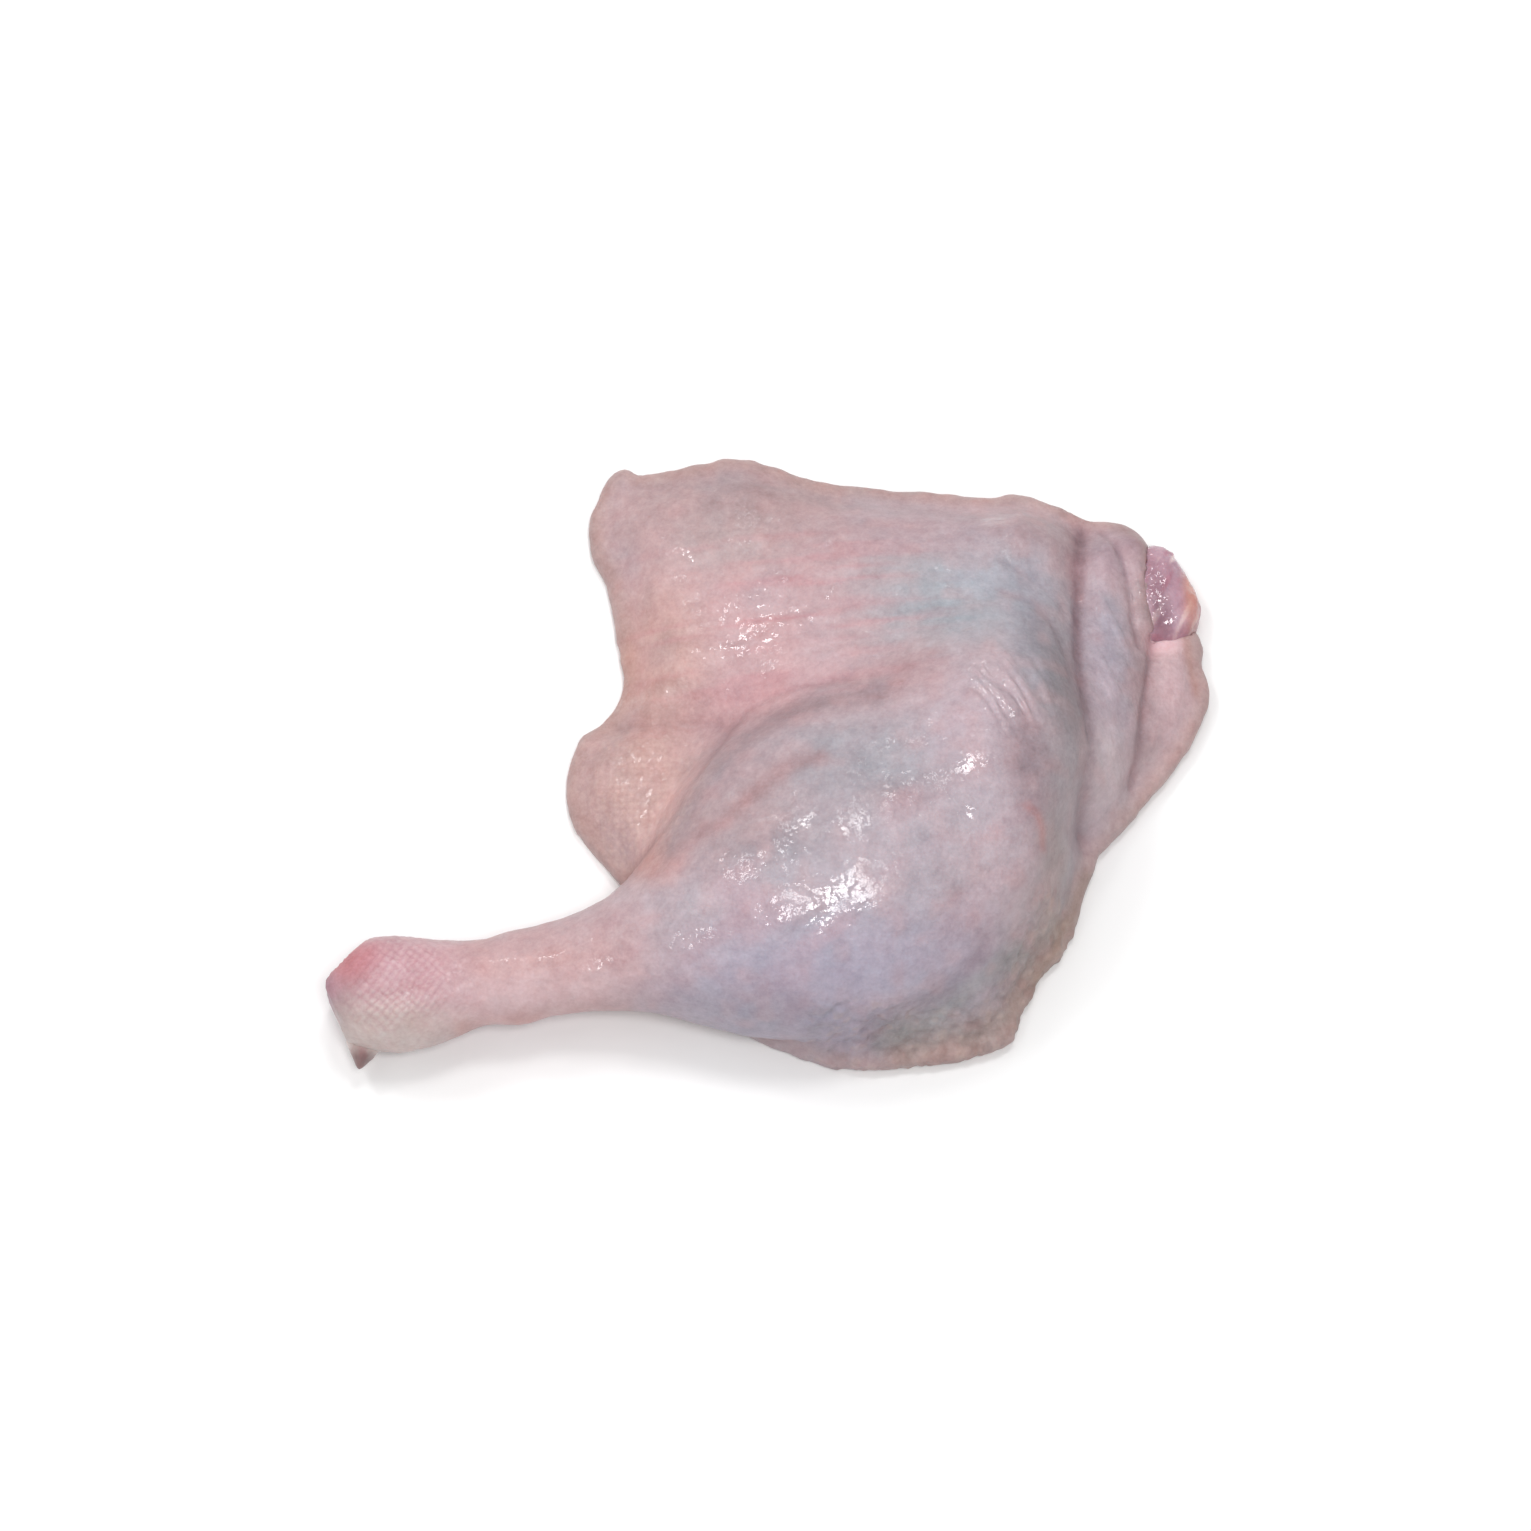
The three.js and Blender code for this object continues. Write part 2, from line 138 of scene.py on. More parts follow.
# Thin lines in the skin, finer than the part's creases: width, depth and path.
CALF_CREASE = [(-27.9, -27.3), (-21.3, -20.4), (-15.5, -10.8), (-11.4, -3.8), (-7.3, 3.1), (-4.7, 6.3),
               (1, 8.8), (9.5, 10.7), (17.8, 11.1)]
RIM_CREASE = [(46.5, -47.5), (44.8, -51), (39.6, -55.8), (33.1, -59.1), (26.6, -61.6), (21.1, -63.5)]
HIP_FOLD = [(74.6, 53), (79.5, 44), (80.7, 37), (81, 30), (82, 24)]
FLESH_FOLD = [(83.6, 44), (85, 36), (86, 27.5)]
FLANK_FOLDS = [[(50, 33), (57, 30), (62, 25), (65, 18), (66.5, 8)], [(52, 41), (60, 36), (65, 30)]]
FINE_LINES = [
    (1.3, 0.6, VALLEY),
    (0.9, 0.6, OUTER_VALLEY),
    (0.8, 0.5, HIP_FOLD),
    (0.7, 0.35, FLESH_FOLD),
    (2.0, 0.15, FURROW),
    (1.0, 0.25, LOBE_CREASE),
    (1.4, 0.45, RIM_CREASE),
    (1.2, 0.45, CALF_CREASE),
    *[(0.9, 0.25, path) for path in FLANK_FOLDS],
]


# ---- Field helpers: every field is negative inside the food ----
def smooth(value, low, high):
    """0 below `low` and 1 above `high`, with a smooth rise between them."""
    t = np.clip((value - low) / (high - low), 0, 1)
    return t * t * (3 - 2 * t)


def mix(a, b, t):
    return a + (b - a) * t


def soft_min(a, b, soft):
    """The lower of two fields, rounded over where they are less than `soft` apart."""
    near = np.maximum(soft - np.abs(a - b), 0) / soft
    return np.minimum(a, b) - near * near * soft / 4


def soft_max(a, b, soft):
    return -soft_min(-a, -b, soft)


def turned(x, y, at, degrees):
    """The way along and across a direction in plan, from a point."""
    angle = math.radians(degrees)
    dx, dy = x - at[0], y - at[1]
    return dx * math.cos(angle) + dy * math.sin(angle), dy * math.cos(angle) - dx * math.sin(angle)


def ellipsoid(x, y, z, at, half, turn):
    along, across = turned(x, y, at, turn)
    along, across, up = along / half[0], across / half[1], (z - at[2]) / half[2]
    reach = np.sqrt(along**2 + across**2 + up**2)
    slope = np.sqrt((along / half[0]) ** 2 + (across / half[1]) ** 2 + (up / half[2]) ** 2)
    return np.where(slope > 1e-9, reach * (reach - 1) / np.maximum(slope, 1e-9), -min(half))


def tapered_limb(x, y, z, start, end, radii):
    axis = [b - a for a, b in zip(start, end)]
    dx, dy, dz = x - start[0], y - start[1], z - start[2]
    t = np.clip((dx * axis[0] + dy * axis[1] + dz * axis[2]) / sum(v * v for v in axis), 0, 1)
    away = np.sqrt((dx - axis[0] * t) ** 2 + (dy - axis[1] * t) ** 2 + (dz - axis[2] * t) ** 2)
    return away - mix(*radii, smooth(t, 0, 1))


def joined(x, y, z, bodies):
    """The field of several bodies, each run into the ones before it."""
    field = np.inf
    for body in bodies:
        shape = ellipsoid if "half" in body else tapered_limb
        sizes = {name: size for name, size in body.items() if name != "blend"}
        field = soft_min(field, shape(x, y, z, **sizes), body["blend"])
    return field


def path_distance(x, y, points):
    """The distance in plan to the nearest part of a path."""
    nearest = np.full(x.shape, np.inf)
    for (ax, ay), (bx, by) in zip(points, points[1:]):
        bx, by = bx - ax, by - ay
        t = np.clip(((x - ax) * bx + (y - ay) * by) / (bx * bx + by * by), 0, 1)
        nearest = np.minimum(nearest, np.hypot(x - ax - bx * t, y - ay - by * t))
    return nearest


def closed_curve(points, steps):
    """A closed centripetal Catmull-Rom curve through the points."""
    points = [np.array(p, float) for p in points]
    count = len(points)
    curve = []
    for i in range(count):
        p0, p1, p2, p3 = (points[(i + n) % count] for n in (-1, 0, 1, 2))
        d0, d1, d2 = (math.sqrt(math.dist(a, b)) for a, b in ((p0, p1), (p1, p2), (p2, p3)))
        leave = ((p1 - p0) / d0 - (p2 - p0) / (d0 + d1) + (p2 - p1) / d1) * d1
        reach = ((p2 - p1) / d1 - (p3 - p1) / (d1 + d2) + (p3 - p2) / d2) * d1
        for t in np.arange(steps) / steps:
            cubic = 2 * (p1 - p2) + leave + reach
            square = 3 * (p2 - p1) - 2 * leave - reach
            curve.append(tuple(p1 + leave * t + square * t**2 + cubic * t**3))
    return curve + curve[:1]


class Map:
    """A function of x and y, worked out once on a fine grid over the part and read between its points."""

    STEP = 0.5
    LOW = (-112, -84)
    SIZE = (448, 336)

    def __init__(self, function):
        x = self.LOW[0] + np.arange(self.SIZE[0]) * self.STEP
        y = self.LOW[1] + np.arange(self.SIZE[1]) * self.STEP
        self.table = function(*np.meshgrid(x, y, indexing="ij"))

    def __call__(self, x, y):
        u = np.clip((x - self.LOW[0]) / self.STEP, 0, self.SIZE[0] - 1.001)
        v = np.clip((y - self.LOW[1]) / self.STEP, 0, self.SIZE[1] - 1.001)
        i, j = u.astype(int), v.astype(int)
        u, v = u - i, v - j
        low = mix(self.table[i, j], self.table[i + 1, j], u)
        high = mix(self.table[i, j + 1], self.table[i + 1, j + 1], u)
        return mix(low, high, v)


OUTLINE = closed_curve(SKIN_OUTLINE, 4)


def signed_outline(x, y):
    """How far a point lies beyond the skin's outline: negative inside it."""
    inside = np.zeros(x.shape, bool)
    for (ax, ay), (bx, by) in zip(OUTLINE, OUTLINE[1:]):
        if ay != by:
            inside ^= ((ay > y) != (by > y)) & (x < (bx - ax) * (y - ay) / (by - ay) + ax)
    away = path_distance(x, y, OUTLINE)
    return np.where(inside, -away, away)


def pressed_in(lines):
    """A function of x and y: how deep lines of a width, depth and path are pressed in there."""
    return lambda x, y: sum(
        depth * np.exp(-((path_distance(x, y, path) / width) ** 2)) for width, depth, path in lines
    )


outline_distance = Map(signed_outline)
crease_depth = Map(pressed_in(CREASES))


# ---- The fields of the three pieces ----
def leg_field(x, y, z):
    beyond = outline_distance(x, y)
    from_edge = beyond + SKIN_EDGE
    past_cut = turned(x, y, CUT_FACE, CUT_TURN)[0]
    past_tip = np.where(x < HOCK_END, turned(x, y, TIP_FACE, TIP_TURN)[0], -FAR)
    past_cut = soft_max(past_cut, past_tip, HOCK_CORNER)
    # The calf stands clear of the loose skin beside and below it, and runs into the knee and thigh.
    calf_blend = mix(*CALF_BLEND, smooth(x, *KNEE_BLEND_X) * smooth(y, *KNEE_BLEND_Y))
    from_middle = np.abs(z - SKIN_SHEET / 2) - (SKIN_SHEET / 2 - SKIN_EDGE)
    sheet = np.hypot(np.maximum(from_edge, 0), np.maximum(from_middle, 0))
    sheet = sheet + np.minimum(np.maximum(from_edge, from_middle), 0) - SKIN_EDGE
    taper = mix(SIDE_TAPER, EDGE_TAPER, smooth(y, *TAPER_Y))
    # The pads thin out towards the skin's edge.
    limit = beyond + EDGE_LIP + taper * np.maximum(z - SKIN_EDGE, 0)
    spread = soft_max(joined(x, y, z, THIGH_PADS), limit, EDGE_BLEND)
    hip_edge = tapered_limb(x, y, z, HIP_EDGE["start"], HIP_EDGE["end"], HIP_EDGE["radii"])
    spread = soft_min(spread, hip_edge, HIP_EDGE["blend"])
    body = soft_min(spread, joined(x, y, z, DRUMSTICK), calf_blend)
    # The skin's outline holds in the knee and belly too, but not the calf and shank, which lie over it.
    over_edge = OVER_EDGE * (1 - smooth(x, *HELD_IN_X) * (1 - smooth(y, *HELD_IN_Y)))
    body = soft_max(body, limit - over_edge, EDGE_BLEND)
    return np.maximum(soft_min(sheet, body, SHEET_BLEND) + crease_depth(x, y), past_cut)


def flesh_field(x, y, z):
    return joined(x, y, z, MEAT)


def joint_radius(t):
    """The joint's radius at t, from -1 at its tip to 1 at its other end."""
    radius = mix(JOINT["tip"], JOINT["knob"], smooth(t, -1, 0.1))
    return radius * np.sqrt(np.maximum(1 - np.abs(t) ** 5, 0))


def joint_field(x, y, z):
    along, across = turned(x, y, JOINT["at"], JOINT["turn"])
    t = along / (JOINT["length"] / 2)
    away = np.hypot(across, z - JOINT["at"][2])
    return np.maximum(away - joint_radius(np.clip(t, -1, 1)), np.abs(along) - JOINT["length"] / 2)


def skin_field(x, y, z):
    """The skin's own mesh: the leg without what it wraps."""
    wrapped = np.minimum(flesh_field(x, y, z), joint_field(x, y, z))
    return np.maximum(leg_field(x, y, z) + INSET, -UNDERLAP - wrapped)


# ---- Noise, the same on every run ----
NOISE_TABLE = 32  # the noise repeats after this many cells


def noise(points, cell, seed):
    """Smooth noise from -1 to 1, about one lump in each cell."""
    table = np.random.default_rng(seed).uniform(-1, 1, [NOISE_TABLE] * 3)
    scaled = points / np.array(cell)
    base = np.floor(scaled).astype(int)
    part = scaled - base
    part = part**3 * (part * (part * 6 - 15) + 10)
    total = np.zeros(len(points))
    for corner in range(8):
        step = np.array([corner & 1, (corner >> 1) & 1, (corner >> 2) & 1])
        weight = np.prod(np.where(step, part, 1 - part), axis=1)
        i, j, k = ((base + step) % NOISE_TABLE).T
        total += weight * table[i, j, k]
    return total


def pebbles(points, cell, seed, jitter=0.8):
    """Rounded bumps, one in each cell: 1 on top of a bump and 0 between bumps."""
    low = 0.5 - jitter / 2
    table = np.random.default_rng(seed).uniform(low, 1 - low, [NOISE_TABLE] * 3 + [3])
    scaled = points / cell
    base = np.floor(scaled).astype(int)
    nearest = np.full(len(points), np.inf)
    for step in np.ndindex(3, 3, 3):
        at = base + np.array(step) - 1
        i, j, k = (at % NOISE_TABLE).T
        nearest = np.minimum(nearest, np.linalg.norm(scaled - at - table[i, j, k], axis=1))
    return 1 - smooth(nearest, 0, 0.8)


def patch(x, y, at, half, turn=0):
    """1 in the middle of an oval and 0 outside it."""
    along, across = turned(x, y, at, turn)
    return np.exp(-(((along / half[0]) ** 2 + (across / half[1]) ** 2) ** 1.5))


def along_lines(points, degrees):
    """The points in a frame turned round Z, for noise that runs in lines."""
    along, across = turned(points[:, 0], points[:, 1], (0, 0), degrees)
    return np.stack([along, across, points[:, 2]], axis=1)


# ---- Meshing ----
# A grid cell's corners, and the pairs of corners that its edges join.
CORNERS = [(a, b, c) for a in (0, 1) for b in (0, 1) for c in (0, 1)]
EDGES = [(a, b) for a in range(8) for b in range(a + 1, 8) if math.dist(CORNERS[a], CORNERS[b]) == 1]


def surface_net(field, low, high, cell):
    """Quads on the field's zero, flat at z = 0 below: one vertex in each grid cell that the surface
    crosses, and one quad round each grid edge that it crosses."""
    axes = [np.arange(a, b + cell, cell) for a, b in zip(low, high)]
    x, y, z = np.meshgrid(*axes, indexing="ij")
    depth = np.maximum(field(x, y, z), -z)
    inside = depth < 0
    shape = [n - 1 for n in depth.shape]
    window = [tuple(slice(c, c + n) for c, n in zip(corner, shape)) for corner in CORNERS]
    filled = sum(inside[w].astype(int) for w in window)
    cells = np.argwhere((filled > 0) & (filled < 8))
    corner_depth = np.stack([depth[tuple((cells + c).T)] for c in CORNERS], axis=1)
    total = np.zeros((len(cells), 3))
    hits = np.zeros(len(cells))
    # Each vertex is the mean of the places where the surface crosses its cell's edges.
    for a, b in EDGES:
        da, db = corner_depth[:, a], corner_depth[:, b]
        crossed = (da < 0) != (db < 0)
        t = np.where(crossed, da / np.where(crossed, da - db, 1), 0)
        place = np.array(CORNERS[a]) + t[:, None] * (np.array(CORNERS[b]) - np.array(CORNERS[a]))
        total += place * crossed[:, None]
        hits += crossed
    vertices = np.array(low) + (cells + total / hits[:, None]) * cell
    vertex_of = np.full(shape, -1)
    vertex_of[tuple(cells.T)] = np.arange(len(cells))
    quads = []
    # A grid edge along this axis that crosses the surface has four cells round it.
    for axis in range(3):
        ahead = np.roll(inside, -1, axis)
        b, c = (np.eye(3, dtype=int)[(axis + n) % 3] for n in (1, 2))
        here = np.argwhere(inside != ahead)
        here = here[np.all((here > 0) & (here < np.array(shape)), axis=1)]
        quad = np.stack([vertex_of[tuple(p.T)] for p in (here, here - b, here - b - c, here - c)], axis=1)
        flip = ~inside[tuple(here.T)]
        quad[flip] = quad[flip][:, ::-1]
        quads.append(quad)
    return vertices, np.concatenate(quads)


def slope_of(field, points, probe=0.15):
    """The field's slope along each axis, at each point."""
    steps = np.eye(3) * probe
    parts = [field(*(points + s).T) - field(*(points - s).T) for s in steps]
    return np.stack(parts, axis=1) / (2 * probe)


def draw_onto(field, points, reach):
    """Moves points along the field's slope onto its zero, by at most `reach`, and keeps the base flat."""
    start = points.copy()
    on_base = points[:, 2] < 0.3
    for _ in range(3):
        slope = slope_of(field, points)
        steep = np.maximum((slope**2).sum(axis=1), 0.1)
        points = points - (field(*points.T) / steep)[:, None] * slope
        points = np.clip(points, start - reach, start + reach)
        points[on_base] = start[on_base]
    points[:, 2] = np.where(on_base, 0, np.maximum(points[:, 2], 0))
    return points


def refine(vertices, quads, wanted):
    """Cuts the quads whose middle is wanted into four."""
    mesh = bmesh.new()
    made = [mesh.verts.new(v) for v in vertices]
    for quad in quads:
        mesh.faces.new([made[i] for i in quad])
    middles = vertices[quads].mean(axis=1)
    chosen = wanted(middles)
    mesh.faces.ensure_lookup_table()
    edges = {e for i in np.flatnonzero(chosen) for e in mesh.faces[int(i)].edges}
    bmesh.ops.subdivide_edges(mesh, edges=list(edges), cuts=1, use_grid_fill=True)
    mesh.verts.index_update()
    points = np.array([v.co for v in mesh.verts])
    faces = [[v.index for v in f.verts] for f in mesh.faces]
    mesh.free()
    return points, faces


# ---- The kinds of skin ----
RIM_PATH = [(62, -40), (57, -50), (52, -59), (44, -63), (30, -66), (14, -66)]
# Ovals where each kind lies: centre, half sizes and turn.
PLACES = dict(
    hock=((-78, -54), (13, 12), 0),
    calf=((12, -36), (44, 26), 20),
    knee=((54, 11), (15, 19), 20),
    wet_knee=((45, -8), (9, 18), 20),
    flap=((2, 28), (36, 22), 3),
    lobe=((-27, -12), (13, 18), 10),
    lobe_edge=((-37, -10), (7, 20), 0),
    inner_fold=((75, 14), (7, 34), 0),
    outer_fold=((88, 8), (8, 22), -10),
)
FINELY_MESHED = ("hock", "knee", "lobe", "rim", "inner_fold")
rim_distance = Map(lambda x, y: path_distance(x, y, RIM_PATH))


def skin_masks(points):
    """How much of each kind of skin there is at each point, from 0 to 1."""
    x, y, z = points.T
    mask = {place: patch(x, y, *oval) for place, oval in PLACES.items()}
    mask["all"] = np.ones(len(points))
    mask["pored"] = (1 + 2 * mask["calf"]) / 3
    mask["hock"] *= 0.75 + 0.25 * noise(points, 5, 43)
    mask["shank"] = smooth(-x, 30, 45) * smooth(-y, 20, 32)
    mask["rim"] = 1 - smooth(rim_distance(x, y), 3, 9)
    mask["edge"] = smooth(outline_distance(x, y), -5, -1) * (1 - mask["shank"]) * (1 - smooth(z, 7, 12))
    return mask


# ---- The skin's relief, in millimetres out of the surface ----
# Lumps: place, height, size and seed.
LUMPS = [
    ("all", 0.3, 13, 1),
    ("all", 0.2, 6, 2),
    ("all", 0.1, 2.6, 3),
    ("rim", 0.5, 2.6, 12),
    ("rim", 0.42, 1.4, 13),
    ("edge", 0.25, 3.2, 14),
]
# Fine ridges in lines: place, height, sizes along, across and up, direction and seed.
RIDGES = [
    ("knee", 0.2, (11, 1.9, 15), -60, 8),
    ("flap", 0.2, (17, 1.9, 15), 3, 9),
    ("flap", 0.1, (6, 1.2, 15), 3, 17),
    ("inner_fold", 0.35, (9, 1.4, 18), -66, 10),
    ("outer_fold", 0.35, (14, 2.2, 18), 82, 11),
    ("shank", 0.2, (24, 3, 6), 7, 15),
    ("lobe_edge", 0.12, (12, 1.4, 15), 96, 16),
    ("calf", 0.12, (11, 2.2, 12), 34, 18),
]
# Pimples: place, height, size, seed and how unevenly they lie.
PIMPLES = [
    ("pored", 0.12, 1.35, 4, 0.8),
    ("flap", 0.12, 2.2, 5, 0.6),
    ("lobe", 0.2, 1.5, 6, 0.4),
    ("wet_knee", 0.13, 1.7, 19, 0.8),
]
SCALE_PITCH = 1.5
SCALE_ROWS = 52  # the direction of the hock's rows of scales
SCALE_HEIGHT = 0.36

# The knee's wrinkles are a fan: each starts and ends a step further on than the one before, and every
# second start and third end is set a little off the others.
WRINKLES = 8
WRINKLE_WIDTH = 0.95
WRINKLE_DEPTH = 0.6
WRINKLE_START, START_STEP, START_SHIFT = np.array([(40.8, 8.5), (1.95, 1.05), (0.5, -0.6)])
WRINKLE_END, END_STEP, END_SHIFT = np.array([(51, -6.5), (1.65, 0.55), (0.6, 1.8)])
WRINKLE_BEND = (0.9, 0.6)
WRINKLED = ((51, 4.5), (9.5, 10.5), -30)
fine_lines = Map(pressed_in(FINE_LINES))


def scale_plates(points):
    """The hock's small scales: rows of plates along and across it, with grooves between them."""
    along, across = turned(points[:, 0], points[:, 1], HOCK["at"], SCALE_ROWS)
    sway = np.stack([along, across, points[:, 2]], axis=1)
    along = along + 0.5 * noise(sway, 4, 41)
    across = across + 0.5 * noise(sway, 4, 42) + 0.3 * points[:, 2]
    plate = np.abs(np.sin(np.pi * along / SCALE_PITCH) * np.sin(np.pi * across / SCALE_PITCH))
    return plate**0.6


def knee_wrinkles(x, y):
    """Valleys with a ridge on each side, bent outward in the middle and fading at both ends."""
    sway = 0.5 * np.sin(x * 0.9 + y * 0.3)
    total = np.zeros(len(x))
    for n in range(WRINKLES):
        start = WRINKLE_START + START_STEP * n + START_SHIFT * (n % 2)
        end = WRINKLE_END + END_STEP * n + END_SHIFT * (n % 3)
        path = [start, (start + end) / 2 + WRINKLE_BEND, end]
        away = path_distance(x + sway, y + sway, path) / WRINKLE_WIDTH
        total += (1 - away**2) * np.exp(-(away**2))
    return total * patch(x, y, *WRINKLED)


def skin_relief(points, mask):
    x, y, _ = points.T
    height = -fine_lines(x, y)
    height -= WRINKLE_DEPTH * knee_wrinkles(x, y) * (0.75 + 0.5 * noise(points, 3, 7))
    height += SCALE_HEIGHT * mask["hock"] * (scale_plates(points) - 0.5)
    for place, rise, size, seed in LUMPS:
        height += rise * mask[place] * noise(points, size, seed)
    for place, rise, size, degrees, seed in RIDGES:
        height += rise * mask[place] * noise(along_lines(points, degrees), size, seed)
    for place, rise, size, seed, jitter in PIMPLES:
        height += rise * mask[place] * pebbles(points, size, seed, jitter)
    return height


# ---- The skin's colours, with painted light and shade ----
# Every colour is given in screen levels from 0 to 255.
# Ovals of colour, painted one over another, a few of them painted light or shade: colour, centre, half
# sizes, turn and strength.
BASE_SKIN = (190, 164, 167)
SKIN_TINTS = [
    ((176, 164, 172), (16, -32), (56, 34), 28, 0.95),  # calf
    ((178, 172, 190), (16, -58), (48, 14), 5, 0.8),
    ((178, 155, 157), (-4, -20), (16, 11), 42, 0.7),
    ((158, 156, 163), (18, -10), (20, 9), 0, 0.8),
    ((159, 165, 172), (38, 30), (26, 14), 0, 0.95),  # thigh
    ((172, 174, 184), (50, 38), (12, 10), 0, 0.7),
    ((166, 163, 176), (60, 24), (9, 18), 0, 0.6),
    ((176, 154, 161), (30, 50), (32, 8), 0, 0.7),
    ((194, 159, 162), (-8, 26), (32, 22), 0, 0.9),  # flap
    ((196, 160, 152), (-24, 20), (12, 20), 0, 0.8),
    ((200, 148, 140), (-29, 19), (5, 8), 0, 0.6),
    ((180, 152, 152), (-12, 56), (34, 14), 0, 0.8),
    ((182, 166, 166), (-8, 46), (12, 8), 0, 0.5),
    ((176, 140, 142), (8, 9), (32, 7), 5, 0.8),
    ((184, 147, 141), (-28, -8), (14, 20), 0, 0.9),  # lobe
    ((197, 141, 132), (-23, -30), (6, 7), 40, 0.7),
    ((194, 156, 155), (-50, -53), (26, 14), 5, 0.9),  # shank and hock
    # painted light: the shank's lower side made paler, as where more light falls on it
    ((216, 188, 191), (-55, -58.5), (29, 4.3), 8, 0.75),
    ((196, 163, 168), (-76, -54), (14, 12), 0, 0.8),
    ((188, 117, 122), (-87, -50.5), (7, 5), 40, 0.8),
    ((214, 201, 194), (-80, -65), (16, 6), 0, 0.8),
    ((168, 130, 145), (-93, -56), (3, 3), 0, 0.8),
    ((184, 166, 175), (46, -5), (13, 18), 0, 0.6),  # knee
    # painted shade on the knee's right slope, turned away from the light
    ((146, 128, 134), (56, -10.5), (7.5, 12), 5, 0.85),
    # partly painted shade down the knee's right side, partly its own greyer skin
    ((162, 153, 157), (65, 0), (6, 38), 0, 0.7),
    ((146, 147, 155), (57, 12), (4.5, 10), 15, 0.6),
    # painted shade low on the knee's right side
    ((150, 132, 130), (62.5, -31), (4.5, 10), 10, 0.7),
    ((180, 167, 177), (75, 10), (6, 32), 0, 0.8),  # folds
    ((206, 190, 194), (73, -6), (5, 9), 0, 0.8),
    ((162, 156, 168), (74, 26), (5, 12), 0, 0.7),
    ((180, 155, 164), (77, 46), (9, 8), 0, 0.7),
    ((200, 172, 176), (89, 8), (7, 20), -8, 0.9),
    ((200, 178, 180), (82, -8), (7, 9), 0, 0.7),
    ((150, 122, 131), (84, 51), (6, 4), -30, 0.7),
]
# Bands of colour along a path, two of them painted shade: colour, width, strength and path.
SKIN_BANDS = [
    ((206, 148, 134), 2.2, 0.6, [(-64, -65), (-45, -63), (-30, -62)]),
    ((172, 134, 134), 2.2, 0.5, [(-24, -33), (-15, -28), (-8.5, -23), (-4, -19), (4, -12.5), (11.5, -10.5)]),
    ((186, 120, 114), 0.9, 0.5, [(55, -21), (57.5, -22.5), (58.5, -25), (58.5, -28)]),
    ((160, 144, 139), 5.2, 0.9, RIM_PATH[:-1]),
    # painted shade along the calf's upper edge, where it meets the flap
    ((150, 128, 132), 3.5, 0.7, [(-20, -27), (-14, -16), (-5, -4), (6, 2.5), (14, 5), (24, 6)]),
    # painted shade down the upper part of the long valley
    ((146, 124, 130), 1.1, 0.6, VALLEY[:5]),
    ((146, 152, 150), 1.8, 0.5, [(54, -47), (47, -53), (40, -58), (32, -62), (24, -65)]),
    ((178, 134, 124), 1.2, 0.6, [(92.6, 29.5), (93.2, 21.5), (94.6, 15)]),
    ((142, 124, 113), 1.4, 0.6, [(70, -27), (68.3, -31), (63.5, -41.5), (58, -51)]),
]
# Ovals of painted light and shade laid over the colours, where the form falls darker or paler in the light:
# centre, half sizes, turn and factor.
SKIN_PAINTED_LIGHT_AND_SHADE = [
    ((61.5, 15), (5, 24), 17, 0.72),  # thigh, beside the valley
    ((63, 2), (4, 9), 10, 0.86),
    ((66, 49), (18, 4.5), -8, 0.86),
    ((53, 44), (6, 5), -30, 0.92),
    ((10, 62), (30, 4), -3, 0.9),  # flap
    ((-6, 57), (9, 7), 0, 0.86),
    ((4, 10.5), (17, 5), 14, 1.28),
    ((-20.5, -14.5), (3.5, 9), -34, 1.4),  # lobe
    ((6, -25), (20, 5), 26, 0.88),  # calf
    ((3, -31.5), (10, 4.5), 15, 0.8),
    ((28, -20), (15, 4.5), 22, 0.84),
    ((50, -33), (7, 10), -20, 1.08),
    ((5, -63), (28, 3.5), -5, 0.86),
    ((31, -62.5), (9, 4), -10, 1.07),  # rim
    ((49, -50), (6, 6), 0, 0.9),
    ((71, -18), (3, 6), 0, 1.16),  # folds
    ((79, 18), (2.5, 12), 0, 0.87),
    ((82.8, 10), (3, 13), 0, 0.79),
    ((84, 35), (2.6, 6), 8, 0.7),
    # painted highlight on the top end of the outer fold
    ((87.5, 26), (4, 3), 0, 1.6),
    ((-77, -49), (9, 4), 0, 1.14),  # hock
    ((-89, -59.5), (4, 5), 0, 0.87),
]
# Faint blotches and streaks over all these.
FLAP_STREAKS = (194, 132, 138)
CALF_FLUSH = (184, 144, 154)
COOL_BLOTCHES = (172, 172, 182)
WARM_BLOTCHES = (200, 156, 156)
EDGE_COLOUR = (176, 144, 132)
RIM_DARK, RIM_PALE = (126, 104, 98), (200, 176, 164)
LOBE_DOTS = (216, 188, 176)
SCALE_GROOVES = (180, 120, 132)
# painted shade in the creases and fine lines
CREASE_PAINTED_SHADE = np.array([0.3, 0.38, 0.36])  # the share of red, green and blue lost in a crease

band_maps = [Map(pressed_in([(width, 1, path)])) for _, width, _, path in SKIN_BANDS]


def linear(colour):
    """A colour in screen levels, as the shader takes it."""
    levels = np.array(colour) / 255
    return np.where(levels <= 0.04045, levels / 12.92, ((levels + 0.055) / 1.055) ** 2.4)


def plain_tint(colour, points):
    return np.tile(linear(colour), (len(points), 1))


def painted(tint, colour, amount):
    """The tint with a colour laid over it, by an amount from 0 to 1 at each point."""
    return tint + (linear(colour) - tint) * amount[:, None]


